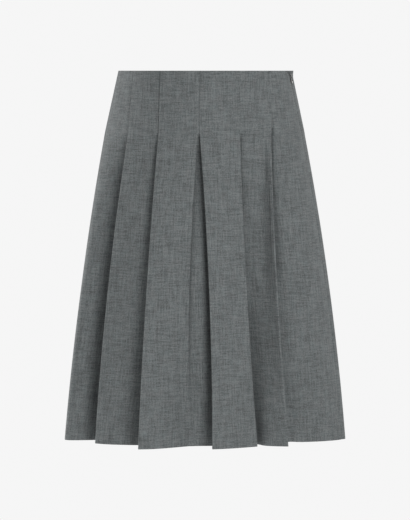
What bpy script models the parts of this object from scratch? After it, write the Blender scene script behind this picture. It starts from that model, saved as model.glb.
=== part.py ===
"""Knee-length A-line skirt with stitched-down pleats, filled out as if worn, with a side zip.

Run with: blender --background --python part.py
Metres, +Z up. The origin is the centre of the waist opening, level with the waist edge.
The front faces -Y, and the zip is in the side seam at +X.

Each cloth panel is a loft through level sections. A section is worked out in a plan of
its own, where x runs to the right and front points out of the panel; the back panel is
the same plan turned half way round.
"""

import math
from collections import namedtuple

import bmesh
import bpy
from mathutils import Matrix, Vector

# Driving sizes
LENGTH = 0.5540  # waist edge to hem, upright
RELEASE = 0.0915  # waist edge to where the stitched-down pleats open
MIDDLE = 0.2685  # the height between those two at which the tables also give the folds
EARLY_END = 0.3600  # a pleat's early swelling ends here
CLOTH = 0.0010  # thickness of the wool cloth
SEAM_GAP = 0.0003

# How a pleat starts: a step across its stitched line, as low as this
STEP_DEPTH = 0.0006
FOLD_RADIUS = 0.0010
SHORTEST_TURN = 0.0008

# How many segments each stretch of a section has
FACE_SEGMENTS = 5
SIDE_FACE_SEGMENTS = 6
ARC_SEGMENTS = 3
LEG_SEGMENTS = 2

# Levels below the waist edge that have a section
LEVELS = (0.0, 0.0043, 0.0086, 0.034, 0.066, 0.0915, 0.106, 0.126, 0.156, 0.198, 0.245, 0.300,
          0.360, 0.425, 0.490, LENGTH)

# The skirt hangs this far to the left of the waist's middle, from the release down
ASIDE = 0.0005

# The figure that fills the skirt, as half widths and half depths
Girth = namedtuple("Girth", "down half_width half_depth")
WAIST = Girth(0.0, 0.1290, 0.0960)
HIP = Girth(RELEASE, 0.1487, 0.1070)

# A fold is the edge of the panel that lies on top. It points right (+1) or left (-1).
# Across the yoke it has a place in degrees round the figure, and a step of some width.
# Below that it has a place in the plan, half way and at the hem, and the inner fold lies
# so far under it and behind it. The last columns say which way the cloth heads before and
# after the pleat, half way down and at the hem. The slope before it reaches back over
# that share of the face. The early columns say how much deeper, further out and more
# turned a pleat is just below the release.
Fold = namedtuple("Fold", "name points waist_deg release_deg step "
                          "mid_x mid_front hem_x hem_front "
                          "mid_under mid_behind hem_under hem_behind "
                          "more_early lift_early turn_early "
                          "mid_before hem_before slope_reach mid_after hem_after")
FRONT_FOLDS = (
    Fold("left_outer", -1, -50.6, -45.6, 0.0040, -0.1310, 0.070, -0.1575, 0.067,
         0.008, 0.051, 0.012, 0.050, 0.0, 0.0, 0, -8, -12, 0.50, 5, 40),
    Fold("left_inner", -1, -26.5, -23.3, 0.0040, -0.0718, 0.110, -0.0851, 0.140,
         0.008, 0.033, 0.012, 0.055, 0.004, 0.0, 0, -24, 0, 0.33, -4, -4),
    Fold("centre_left", 1, -1.1, -0.4, 0.0010, -0.0120, 0.104, -0.0147, 0.0925,
         0.002, 0.004, -0.009, 0.003, 0.012, 0.0, 0, -11, -40, 0.33, 34, -14),
    Fold("centre_right", -1, 0.7, 0.9, 0.0010, 0.0145, 0.113, 0.0231, 0.130,
         0.008, 0.029, 0.012, 0.050, 0.003, 0.0, 0, -36, -24, 0.33, -9, -20),
    Fold("right_inner", 1, 26.8, 23.8, 0.0040, 0.0670, 0.093, 0.0854, 0.088,
         0.005, 0.024, 0.006, 0.032, 0.001, 0.0, 0, -18, -42, 0.33, 12, 60),
    Fold("right_outer", 1, 52.5, 44.6, 0.0040, 0.1117, 0.088, 0.1308, 0.083,
         0.006, 0.028, 0.014, 0.048, 0.003, 0.005, 34, 34, 0, 0.55, 6, -22),
)
BACK_FOLDS = (
    Fold("left_outer", -1, -53.0, -46.8, 0.0040, -0.1240, 0.074, -0.1500, 0.074,
         0.008, 0.030, 0.012, 0.042, 0.002, 0.0, 0, -24, -12, 0.45, 10, 24),
    Fold("left_inner", -1, -27.2, -24.7, 0.0040, -0.0700, 0.106, -0.0850, 0.118,
         0.008, 0.024, 0.012, 0.048, 0.003, 0.0, 0, -14, 0, 0.33, -2, -6),
    Fold("centre_left", 1, -0.9, -0.8, 0.0010, -0.0110, 0.109, -0.0180, 0.112,
         0.008, 0.020, 0.012, 0.038, 0.004, 0.0, 0, -6, -14, 0.33, 16, 12),
    Fold("centre_right", -1, 0.9, 0.8, 0.0010, 0.0120, 0.111, 0.0200, 0.116,
         0.008, 0.022, 0.012, 0.040, 0.004, 0.0, 0, -20, -14, 0.33, -6, -14),
    Fold("right_inner", 1, 27.2, 24.7, 0.0040, 0.0690, 0.100, 0.0840, 0.096,
         0.006, 0.018, 0.008, 0.032, 0.002, 0.0, 0, -14, -28, 0.33, -2, 26),
    Fold("right_outer", 1, 53.0, 46.8, 0.0040, 0.1200, 0.078, 0.1460, 0.072,
         0.009, 0.024, 0.014, 0.042, 0.003, 0.003, 18, 20, 2, 0.45, -6, -14),
)

# The side seams, in the front's plan, with the way the cloth heads there at the hem.
# The cloth runs straight for a little on both sides of a seam.
Seam = namedtuple("Seam", "waist_deg release_deg mid_x mid_front hem_x hem_front hem_deg")
LEFT_SEAM = Seam(-82.0, -80.0, -0.1765, 0.014, -0.2094, 0.012, 90)
RIGHT_SEAM = Seam(78.5, 79.0, 0.1750, 0.003, 0.2054, -0.019, -58)
SEAM_RUN = 0.0050

# The zip in the right side seam, and the notch where its top springs open
ZIP_LENGTH = 0.190
TAPE_WIDTH = 0.0115
TAPE_THICKNESS = 0.0008
TAPE_SET_BACK = 0.0003
TAPE_LEVELS = (0.0006, 0.0043, 0.0086, 0.034, 0.066, 0.0915, 0.106, 0.126, 0.156, ZIP_LENGTH)
NOTCH_DEPTH = 0.0086
NOTCH_ON_FRONT = 0.0100
NOTCH_ON_BACK = 0.0100

# The slider and its pull, in a frame whose origin is the pull's hinge: X along the seam's
# two sides, Y up the slope of the side, Z out of the cloth
HINGE_DOWN = 0.0088
HINGE_OUT = 0.0019
BRIDGE_WIDTH = 0.0012
BRIDGE_THICKNESS = 0.0008
NECK_TOP = 0.0036
NECK_BOTTOM = 0.0022
BRIDGE_FOOT = -0.0029
BRIDGE_TOP = 0.0016
SLIDER_WIDTH = 0.0058
SLIDER_TOP = 0.0036
SLIDER_BOTTOM = -0.0050
SLIDER_THICKNESS = 0.0022
PULL_THICKNESS = 0.0009
PULL_BAR = 0.0006
PULL_EYE_WIDTH = 0.0022
PULL_EYE_END = 0.0043
PULL_HEAD_WIDTH = 0.0042
PULL_WIDTH = 0.0060
PULL_LENGTH = 0.0118

WOOL = (0.140, 0.150, 0.151, 1.0)
TAPE_GREY = (0.100, 0.105, 0.106, 1.0)
STEEL = (0.620, 0.620, 0.600, 1.0)


def clear_scene():
    for obj in list(bpy.data.objects):
        bpy.data.objects.remove(obj)


def new_collection(name):
    collection = bpy.data.collections.new(name)
    bpy.context.scene.collection.children.link(collection)
    return collection


def new_material(name, colour, roughness, metallic):
    material = bpy.data.materials.new(name)
    material.use_nodes = True
    shader = material.node_tree.nodes["Principled BSDF"]
    shader.inputs["Base Color"].default_value = colour
    shader.inputs["Roughness"].default_value = roughness
    shader.inputs["Metallic"].default_value = metallic
    material.diffuse_color = colour
    return material


def mix(start, end, share):
    return start + (end - start) * share


def girth_at(down):
    share = down / RELEASE
    return (mix(WAIST.half_width, HIP.half_width, share),
            mix(WAIST.half_depth, HIP.half_depth, share))


def below_release(down, at_release, at_middle, at_hem):
    """The value at a level, on the parabola through the three that are given."""
    past_release = down - RELEASE
    past_middle = down - MIDDLE
    past_hem = down - LENGTH
    return (at_release * past_middle * past_hem / ((RELEASE - MIDDLE) * (RELEASE - LENGTH))
            + at_middle * past_release * past_hem / ((MIDDLE - RELEASE) * (MIDDLE - LENGTH))
            + at_hem * past_release * past_middle / ((LENGTH - RELEASE) * (LENGTH - MIDDLE)))


def early_at(down):
    """A swelling below the release: 0 there, 1 a little lower, and 0 from EARLY_END down."""
    share = min(1.0, max(0.0, (down - RELEASE) / (EARLY_END - RELEASE)))
    return math.sin(math.pi * share ** 0.6) ** 2


def opened_at(down):
    """How far a pleat has opened: 0 at its release and above, 1 at the hem."""
    return max(0.0, (down - RELEASE) / (LENGTH - RELEASE))


def round_the_figure(degrees, down):
    """A point on the figure's oval and the way that the oval heads there, in degrees."""
    half_width, half_depth = girth_at(down)
    angle = math.radians(degrees)
    point = Vector((half_width * math.sin(angle), half_depth * math.cos(angle)))
    heading = math.atan2(-half_depth * math.sin(angle), half_width * math.cos(angle))
    return point, math.degrees(heading)


def heading_vector(degrees):
    angle = math.radians(degrees)
    return Vector((math.cos(angle), math.sin(angle)))


def place_of(row, down):
    """Where a fold or seam is at a level, and the way that the figure's oval heads there."""
    if down <= RELEASE:
        return round_the_figure(mix(row.waist_deg, row.release_deg, down / RELEASE), down)
    at_release, heading = round_the_figure(row.release_deg, RELEASE)
    point = Vector((below_release(down, at_release.x, row.mid_x, row.hem_x),
                    below_release(down, at_release.y, row.mid_front, row.hem_front)))
    return point, heading


def heading_of(oval_deg, hem_deg, down):
    return mix(oval_deg, hem_deg, opened_at(down))


def pleat_at(fold, down):
    """The outer and the inner fold of a pleat at a level, and the headings beside it."""
    outer, oval_deg = place_of(fold, down)
    early = early_at(down)
    outer.y += fold.lift_early * early
    under, behind = -fold.step, STEP_DEPTH
    if down > RELEASE:
        under = below_release(down, -fold.step, fold.mid_under, fold.hem_under)
        behind = below_release(down, STEP_DEPTH, fold.mid_behind, fold.hem_behind)
        behind += fold.more_early * early
    along = heading_vector(heading_of(oval_deg, 0.0, down))
    inward = Vector((along.y, -along.x))
    inner = outer - along * fold.points * under + inward * behind
    before, after = oval_deg, oval_deg
    if down > RELEASE:
        before = below_release(down, oval_deg, fold.mid_before, fold.hem_before)
        before += fold.turn_early * early
        after = below_release(down, oval_deg, fold.mid_after, fold.hem_after)
    return outer, inner, heading_vector(before), heading_vector(after)


def rounded_corner(corner, heading_in, heading_out, leg_length, is_outer):
    """The points of the arc that turns a corner, its ends on the two lines that meet."""
    turn = heading_in.angle(heading_out)
    half_tan = math.tan(turn / 2)
    setback = max(FOLD_RADIUS * half_tan, min(0.3 * leg_length, SHORTEST_TURN))
    setback = min(setback, 0.45 * leg_length)
    radius = setback / half_tan
    if is_outer:
        tip = (heading_in - heading_out).normalized()
        corner = corner + tip * (radius / math.cos(turn / 2) - radius)
    start = corner - heading_in * setback
    side = 1 if heading_in.cross(heading_out) > 0 else -1
    centre = start + Vector((-heading_in.y, heading_in.x)) * side * radius
    spoke = start - centre
    return [centre + Matrix.Rotation(side * turn * step / ARC_SEGMENTS, 2) @ spoke
            for step in range(ARC_SEGMENTS + 1)]


def face_points(start, heading_in, end, heading_out, segments, slope_reach=1 / 3):
    """The inner points of a gently curved face from one point to another."""
    length = (end - start).length
    first = start + heading_in * length / 3
    second = end - heading_out * length * slope_reach
    points = []
    for step in range(1, segments):
        share = step / segments
        rest = 1 - share
        points.append(start * rest ** 3 + first * 3 * share * rest ** 2
                      + second * 3 * share ** 2 * rest + end * share ** 3)
    return points


def section(folds, start_seam, end_seam, down, start_set_back, end_set_back):
    """One panel's section at a level: points from its left seam to its right seam."""
    point, oval_deg = place_of(start_seam, down)
    heading = heading_vector(heading_of(oval_deg, start_seam.hem_deg, down))
    points = [point + heading * start_set_back,
              point + heading * (start_set_back + SEAM_RUN)]
    segments = SIDE_FACE_SEGMENTS
    for fold in folds:
        outer, inner, before, after = pleat_at(fold, down)
        reach = mix(1 / 3, fold.slope_reach, min(1.0, 3 * opened_at(down)))
        first, second = (outer, inner) if fold.points > 0 else (inner, outer)
        leg = second - first
        along_leg = leg.normalized()
        arc_in = rounded_corner(first, before, along_leg, leg.length, fold.points > 0)
        arc_out = rounded_corner(second, along_leg, after, leg.length, fold.points < 0)
        points += face_points(points[-1], heading, arc_in[0], before, segments, reach)
        points += arc_in
        points += [arc_in[-1].lerp(arc_out[0], step / LEG_SEGMENTS)
                   for step in range(1, LEG_SEGMENTS)]
        points += arc_out
        heading, segments = after, FACE_SEGMENTS
    point, oval_deg = place_of(end_seam, down)
    end_heading = heading_vector(heading_of(oval_deg, end_seam.hem_deg, down))
    run_start = point - end_heading * (end_set_back + SEAM_RUN)
    points += face_points(points[-1], heading, run_start, end_heading, SIDE_FACE_SEGMENTS)
    return points + [run_start, point - end_heading * end_set_back]


def notch_at(down, width):
    return width * max(0.0, 1 - down / NOTCH_DEPTH)


def half_turned(seam):
    """A side seam as the other panel's plan has it."""
    return seam._replace(waist_deg=-math.copysign(180 - abs(seam.waist_deg), seam.waist_deg),
                         release_deg=-math.copysign(180 - abs(seam.release_deg),
                                                    seam.release_deg),
                         mid_x=-seam.mid_x, mid_front=-seam.mid_front,
                         hem_x=-seam.hem_x, hem_front=-seam.hem_front,
                         hem_deg=seam.hem_deg + (180 if seam.hem_deg < 0 else -180))


def front_section(down):
    return section(FRONT_FOLDS, LEFT_SEAM, RIGHT_SEAM, down,
                   SEAM_GAP / 2, SEAM_GAP / 2 + notch_at(down, NOTCH_ON_FRONT))


def back_section(down):
    return section(BACK_FOLDS, half_turned(RIGHT_SEAM), half_turned(LEFT_SEAM), down,
                   SEAM_GAP / 2 + notch_at(down, NOTCH_ON_BACK), SEAM_GAP / 2)


def aside_at(down):
    return -ASIDE * min(1.0, down / RELEASE)


def in_front(point, down):
    """A point of the front's plan, placed in the skirt."""
    return Vector((point.x + aside_at(down), -point.y, -down))


def behind_it(point, down):
    """A point of the back's plan, placed in the skirt."""
    return Vector((-point.x + aside_at(down), point.y, -down))


def cloth_sheet(name, rows, thickness, colour, collection):
    """A sheet of cloth through rows of points, made into a wall with Solidify."""
    mesh = bpy.data.meshes.new(name)
    sheet = bmesh.new()
    grid = [[sheet.verts.new(point) for point in row] for row in rows]
    for upper, lower in zip(grid, grid[1:]):
        for left in range(len(upper) - 1):
            sheet.faces.new((upper[left], lower[left], lower[left + 1], upper[left + 1]))
    sheet.to_mesh(mesh)
    sheet.free()
    mesh.shade_smooth()
    mesh.set_sharp_from_angle(angle=math.radians(50))
    mesh.materials.append(new_material(name, colour, 0.85, 0.0))
    obj = bpy.data.objects.new(name, mesh)
    collection.objects.link(obj)
    wall = obj.modifiers.new("wall", "SOLIDIFY")
    wall.thickness = thickness
    wall.offset = 0
    wall.use_even_offset = True
    return obj


def tape_row(points, down, side):
    """Points across a zip tape, from the seam edge in, on the cloth's inner face.

    side is +1 where the panel's last point is at the zip and -1 where its first is."""
    ordered = points[::-1] if side > 0 else points
    edge = ordered[0]
    inwards = (ordered[1] - edge).normalized()
    to_inside = Vector((-inwards.y, inwards.x)) * side
    depth = CLOTH / 2 + SEAM_GAP + TAPE_THICKNESS / 2
    row = []
    for reach in (TAPE_SET_BACK, TAPE_WIDTH / 2, TAPE_WIDTH):
        walked, spot = 0.0, edge
        for here, there in zip(ordered, ordered[1:]):
            step = (there - here).length
            if walked + step >= reach:
                spot = here.lerp(there, (reach - walked) / step)
                along = (there - here).normalized()
                to_inside = Vector((-along.y, along.x)) * side
                break
            walked += step
        row.append(spot + to_inside * depth)
    return row


def zip_frame():
    """The matrix of the frame at the pull's hinge, on the right side seam."""
    above, _ = place_of(RIGHT_SEAM, 0.0)
    below, _ = place_of(RIGHT_SEAM, 2 * HINGE_DOWN)
    seat, oval_deg = place_of(RIGHT_SEAM, HINGE_DOWN)
    along = heading_vector(heading_of(oval_deg, RIGHT_SEAM.hem_deg, HINGE_DOWN))
    across = Vector((along.x, -along.y, 0))
    up = (in_front(above, 0.0) - in_front(below, 2 * HINGE_DOWN)).normalized()
    out = across.cross(up).normalized()
    across = up.cross(out)
    turned = Matrix((across, up, out)).transposed().to_4x4()
    return Matrix.Translation(in_front(seat, HINGE_DOWN) + out * HINGE_OUT) @ turned


def box_mesh(size, centre):
    shape = bmesh.new()
    bmesh.ops.create_cube(shape, size=1.0)
    bmesh.ops.scale(shape, vec=size, verts=shape.verts)
    bmesh.ops.translate(shape, vec=centre, verts=shape.verts)
    return shape


def add_box(name, low, high, collection):
    """A box between two corners, as an object in the frame of the zip."""
    size = Vector(high) - Vector(low)
    shape = box_mesh(size, (Vector(high) + Vector(low)) / 2)
    mesh = bpy.data.meshes.new(name)
    shape.to_mesh(mesh)
    shape.free()
    obj = bpy.data.objects.new(name, mesh)
    collection.objects.link(obj)
    return obj


def join_with(obj, other, collection_of_tools):
    """Adds another shape to an object with a Boolean, and keeps that shape as a tool."""
    union = obj.modifiers.new("join_" + other.name, "BOOLEAN")
    union.operation = "UNION"
    union.object = other
    for collection in list(other.users_collection):
        collection.objects.unlink(other)
    collection_of_tools.objects.link(other)
    other.hide_render = True
    other.display_type = "WIRE"


def make_slider(frame, parts, tools):
    """The slider: a body inside the skirt, a neck through the notch and a bridge outside."""
    half_bridge = BRIDGE_WIDTH / 2
    half_body = SLIDER_WIDTH / 2
    cloth_inside = -HINGE_OUT - CLOTH / 2 - 2 * SEAM_GAP - TAPE_THICKNESS
    body_back = cloth_inside - SLIDER_THICKNESS
    lap = 0.0002
    slider = add_box("zip_slider", (-half_body, SLIDER_BOTTOM, body_back),
                     (half_body, SLIDER_TOP, cloth_inside), parts)
    neck = add_box("slider_neck", (-half_bridge, NECK_BOTTOM, cloth_inside - lap),
                   (half_bridge, NECK_TOP, BRIDGE_TOP), tools)
    bridge = add_box("slider_bridge", (-half_bridge, BRIDGE_FOOT, BRIDGE_TOP - BRIDGE_THICKNESS),
                     (half_bridge, NECK_BOTTOM + lap, BRIDGE_TOP), tools)
    foot = add_box("slider_foot", (-half_bridge, BRIDGE_FOOT, -HINGE_OUT + CLOTH / 2 + SEAM_GAP),
                   (half_bridge, BRIDGE_FOOT + BRIDGE_THICKNESS, BRIDGE_TOP - lap), tools)
    for piece in (slider, neck, bridge, foot):
        piece.matrix_world = frame
    for piece in (neck, bridge, foot):
        join_with(slider, piece, tools)
    slider.data.materials.append(new_material("zip_slider", STEEL, 0.28, 1.0))


def drop_outline():
    """The pull's outline: a narrow head that widens to a round end."""
    head = PULL_HEAD_WIDTH / 2
    end_radius = PULL_WIDTH / 2
    top = PULL_BAR
    end_centre = -PULL_LENGTH + end_radius + top
    corner = 0.0008
    points = [(-head, top - corner), (-head + corner, top), (head - corner, top),
              (head, top - corner), (head * 0.86, -PULL_EYE_END)]
    turns = 8
    points += [(end_radius * math.cos(math.pi * step / turns),
                end_centre - end_radius * math.sin(math.pi * step / turns))
               for step in range(turns + 1)]
    points.append((-head * 0.86, -PULL_EYE_END))
    return points


def make_pull(frame, parts, tools):
    """The drop-shaped pull: a flat plate with an eye that the slider's bridge runs through."""
    outline = bpy.data.curves.new("pull_outline", "CURVE")
    outline.dimensions = "2D"
    outline.fill_mode = "BOTH"
    outline.extrude = PULL_THICKNESS / 2
    spline = outline.splines.new("POLY")
    corners = drop_outline()
    spline.points.add(len(corners) - 1)
    for point, corner in zip(spline.points, corners):
        point.co = (*corner, 0, 1)
    spline.use_cyclic_u = True
    guide = bpy.data.objects.new("pull_outline", outline)
    parts.objects.link(guide)
    bpy.context.view_layer.update()
    graph = bpy.context.evaluated_depsgraph_get()
    mesh = bpy.data.meshes.new_from_object(guide.evaluated_get(graph))
    mesh.name = "zip_pull"
    bpy.data.objects.remove(guide)
    shape = bmesh.new()
    shape.from_mesh(mesh)
    bmesh.ops.remove_doubles(shape, verts=shape.verts, dist=0.00001)
    shape.to_mesh(mesh)
    shape.free()
    mesh.materials.clear()
    mesh.materials.append(new_material("zip_pull", STEEL, 0.28, 1.0))
    pull = bpy.data.objects.new("zip_pull", mesh)
    parts.objects.link(pull)
    pull.matrix_world = frame
    eye = add_box("pull_eye", (-PULL_EYE_WIDTH / 2, -PULL_EYE_END + PULL_BAR, -PULL_THICKNESS),
                  (PULL_EYE_WIDTH / 2, -PULL_BAR, PULL_THICKNESS), tools)
    eye.matrix_world = frame
    cut = pull.modifiers.new("eye", "BOOLEAN")
    cut.operation = "DIFFERENCE"
    cut.object = eye
    eye.hide_render = True
    eye.display_type = "WIRE"


def main():
    clear_scene()
    parts = new_collection("skirt")
    tools = new_collection("cutters")

    front_rows = [[in_front(p, down) for p in front_section(down)] for down in LEVELS]
    back_rows = [[behind_it(p, down) for p in back_section(down)] for down in LEVELS]
    cloth_sheet("front_panel", front_rows, CLOTH, WOOL, parts)
    cloth_sheet("back_panel", back_rows, CLOTH, WOOL, parts)

    front_tape = [[in_front(p, down) for p in tape_row(front_section(down), down, 1)]
                  for down in TAPE_LEVELS]
    back_tape = [[behind_it(p, down) for p in tape_row(back_section(down), down, -1)]
                 for down in TAPE_LEVELS]
    cloth_sheet("zip_tape_front", front_tape, TAPE_THICKNESS, TAPE_GREY, parts)
    cloth_sheet("zip_tape_back", back_tape, TAPE_THICKNESS, TAPE_GREY, parts)

    frame = zip_frame()
    make_slider(frame, parts, tools)
    make_pull(frame, parts, tools)


main()
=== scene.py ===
"""The looks of a knee-length A-line skirt with stitched-down pleats and a side zip.

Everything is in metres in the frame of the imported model: +Z up, the front faces -Y, the
waist edge is at z = 0 and the zip is in the side seam at +X. The cloth follows the same
plan as the solids, from the same tables, in finer steps. It adds the crisp stitched lines,
the spring of each pleat below them, and the creases.
"""

import math
from collections import namedtuple

import bmesh
import bpy
import numpy as np
from mathutils import Matrix, Vector


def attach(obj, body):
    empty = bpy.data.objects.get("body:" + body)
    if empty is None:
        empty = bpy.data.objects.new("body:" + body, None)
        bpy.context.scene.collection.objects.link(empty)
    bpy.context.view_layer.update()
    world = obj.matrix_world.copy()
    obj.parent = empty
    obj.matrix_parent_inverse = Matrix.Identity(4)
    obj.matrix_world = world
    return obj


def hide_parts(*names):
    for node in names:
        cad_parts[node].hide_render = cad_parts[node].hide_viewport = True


# Sizes and tables that the solids share, apart from the columns for the stitched lines
LENGTH = 0.5540
RELEASE = 0.0915
MIDDLE = 0.2685
EARLY_END = 0.3600
EARLY_SKEW = 0.6
CLOTH = 0.0010
SEAM_GAP = 0.0003

# The skirt hangs this far to the left of the waist's middle, from the release down
ASIDE = 0.0005

Girth = namedtuple("Girth", "down half_width half_depth")
WAIST = Girth(0.0, 0.1290, 0.0960)
HIP = Girth(RELEASE, 0.1487, 0.1070)

# A fold is the edge of the panel that lies on top. It points right (+1) or left (-1).
# Places are degrees round the figure across the yoke, and points of the plan below it.
# The stitched line across the yoke is a step of its own width and depth. Below it the
# inner fold lies so far under the outer one and so far behind it. The early columns swell
# that depth, lift the outer fold and turn the cloth before it, for a while below the
# release. The last columns say which way the cloth heads before and after the pleat, half
# way down and at the hem. The slope before it reaches back over that share of the face.
Fold = namedtuple("Fold", "name points waist_deg release_deg line_under line_depth "
                          "mid_x mid_front hem_x hem_front "
                          "mid_under mid_behind hem_under hem_behind "
                          "more_early lift_early turn_early "
                          "mid_before hem_before slope_reach mid_after hem_after")
FRONT_FOLDS = (
    Fold("left_outer", -1, -50.6, -45.6, 0.0014, 0.0038, -0.1310, 0.070, -0.1575, 0.067,
         0.008, 0.051, 0.012, 0.050, 0.0, 0.0, 0, -8, -12, 0.50, 5, 40),
    Fold("left_inner", -1, -26.5, -23.3, 0.0010, 0.0034, -0.0718, 0.110, -0.0851, 0.140,
         0.008, 0.033, 0.012, 0.055, 0.004, 0.0, 0, -24, 0, 0.33, -4, -4),
    Fold("centre_left", 1, -1.1, -0.4, -0.0005, 0.0006, -0.0120, 0.104, -0.0147, 0.0925,
         0.002, 0.004, -0.009, 0.003, 0.012, 0.0, 0, -11, -40, 0.33, 34, -14),
    Fold("centre_right", -1, 0.7, 0.9, -0.0005, 0.0008, 0.0145, 0.113, 0.0231, 0.130,
         0.008, 0.029, 0.012, 0.050, 0.003, 0.0, 0, -36, -24, 0.33, -9, -20),
    Fold("right_inner", 1, 26.8, 23.8, 0.0003, 0.0012, 0.0670, 0.093, 0.0854, 0.088,
         0.005, 0.024, 0.006, 0.032, 0.001, 0.0, 0, -18, -42, 0.33, 12, 60),
    Fold("right_outer", 1, 52.5, 44.6, 0.0003, 0.0012, 0.1117, 0.088, 0.1308, 0.083,
         0.006, 0.028, 0.014, 0.048, 0.003, 0.005, 34, 34, 0, 0.55, 6, -22),
)
BACK_FOLDS = (
    Fold("left_outer", -1, -53.0, -46.8, -0.0012, 0.0012, -0.1240, 0.074, -0.1500, 0.074,
         0.008, 0.030, 0.012, 0.042, 0.002, 0.0, 0, -24, -12, 0.45, 10, 24),
    Fold("left_inner", -1, -27.2, -24.7, -0.0012, 0.0013, -0.0700, 0.106, -0.0850, 0.118,
         0.008, 0.024, 0.012, 0.048, 0.003, 0.0, 0, -14, 0, 0.33, -2, -6),
    Fold("centre_left", 1, -0.9, -0.8, -0.0012, 0.0006, -0.0110, 0.109, -0.0180, 0.112,
         0.008, 0.020, 0.012, 0.038, 0.004, 0.0, 0, -6, -14, 0.33, 16, 12),
    Fold("centre_right", -1, 0.9, 0.8, -0.0012, 0.0006, 0.0120, 0.111, 0.0200, 0.116,
         0.008, 0.022, 0.012, 0.040, 0.004, 0.0, 0, -20, -14, 0.33, -6, -14),
    Fold("right_inner", 1, 27.2, 24.7, -0.0012, 0.0012, 0.0690, 0.100, 0.0840, 0.096,
         0.006, 0.018, 0.008, 0.032, 0.002, 0.0, 0, -14, -28, 0.33, -2, 26),
    Fold("right_outer", 1, 53.0, 46.8, -0.0012, 0.0011, 0.1200, 0.078, 0.1460, 0.072,
         0.009, 0.024, 0.014, 0.042, 0.003, 0.003, 18, 20, 2, 0.45, -6, -14),
)

Seam = namedtuple("Seam", "waist_deg release_deg mid_x mid_front hem_x hem_front hem_deg")
LEFT_SEAM = Seam(-82.0, -80.0, -0.1765, 0.014, -0.2094, 0.012, 90)
RIGHT_SEAM = Seam(78.5, 79.0, 0.1750, 0.003, 0.2054, -0.019, -58)

# Beside a seam the cloth runs straight for a little. The edges of a sewn seam all but meet.
SEAM_RUN = 0.0050
SEWN_GAP = 0.00004

# The seam opens into a V over the zip's slider
NOTCH_DEPTH = 0.0086
NOTCH_ON_FRONT = 0.0100
NOTCH_ON_BACK = 0.0100
TAPE_THICKNESS = 0.0008

# The slider and its pull, in a frame at the pull's hinge: X along the seam's two sides,
# Y up the slope of the side, Z out of the cloth
HINGE_DOWN = 0.0088
HINGE_OUT = 0.0019
BRIDGE_WIDTH = 0.0012
BRIDGE_THICKNESS = 0.0008
NECK_MIDDLE = 0.0029
BRIDGE_FOOT = -0.0029
BRIDGE_TOP = 0.0016
SLIDER_WIDTH = 0.0058
SLIDER_TOP = 0.0036
SLIDER_BOTTOM = -0.0050
SLIDER_THICKNESS = 0.0022
SLIDER_ROUNDING = 0.0005
BRIDGE_ROUNDING = 0.0002
NECK_EXTRA = 0.0004
NECK_OVERLAP = 0.0001
PULL_THICKNESS = 0.0009
PULL_CROWN = 0.0004
PULL_TOP = 0.0006
PULL_HEAD_RADIUS = 0.0021
PULL_END_RADIUS = 0.0030
PULL_LENGTH = 0.0118
EYE_RADIUS = 0.0011
EYE_TOP = -0.0017
EYE_BOTTOM = -0.0029
PULL_TURNS = 40

# The zip's teeth, on the inside of the tapes from the slider down to a stop
TOOTH_PITCH = 0.0015
TOOTH_SIZE = (0.0036, 0.0009, 0.0009)
TOOTH_ROUNDING = 0.0002
STOP_SIZE = (0.0050, 0.0040, 0.0014)
STOP_ROUNDING = 0.0003
TEETH_FROM = 0.0150
TEETH_TO = 0.1830
ZIP_LENGTH = 0.190

# The zip's pieces are shaded smooth across edges that turn less than this
SMOOTH_BELOW_DEG = 40

# Just below its stitched line, a pleat springs open by this much within this far, and
# that fades towards the hem by this power
LIP_UNDER = 0.0016
LIP_DEPTH = 0.0032
LIP_DOWN = 0.0050
LIP_FADE = 4

# Finer than the solids: the pressed folds. A fold's round starts at least this far from
# its corner, or this share of a leg that is too short for that, and at most the second
# share of the leg.
FOLD_RADIUS = 0.0008
SHORTEST_TURN = 0.0004
LEAST_TURN_SHARE = 0.3
MOST_TURN_SHARE = 0.45

# The reach of a fold's slope is full at one part in this many of the way below the release
SLOPE_REACH_GROWTH = 3

# How many steps make up each face, the rounds of a fold and the leg between two folds
NEAR_FOLD_SEGMENTS = 11
NEAR_FOLD_SHARE = 0.17
MID_FACE_SEGMENTS = 8
ARC_SEGMENTS = 5
LEG_SEGMENTS = 6

# How far apart the rows are, down to each level: closest where the stitched lines end
RowStep = namedtuple("RowStep", "down apart")
ROW_STEPS = (
    RowStep(0.0740, 0.0050),
    RowStep(0.0980, 0.0010),
    RowStep(0.1400, 0.0035),
    RowStep(0.4340, 0.0056),
    RowStep(0.5250, 0.0030),
    RowStep(0.5540, 0.0050),
)

# The wall thins to a round edge over this far at the seams, the waist and the hem
EDGE_STEPS = (0.0, 0.0001, 0.00025, 0.0005)
SEAM_STEPS = EDGE_STEPS + (0.0012, 0.0020, 0.0032)
THINNEST = 0.15

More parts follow.
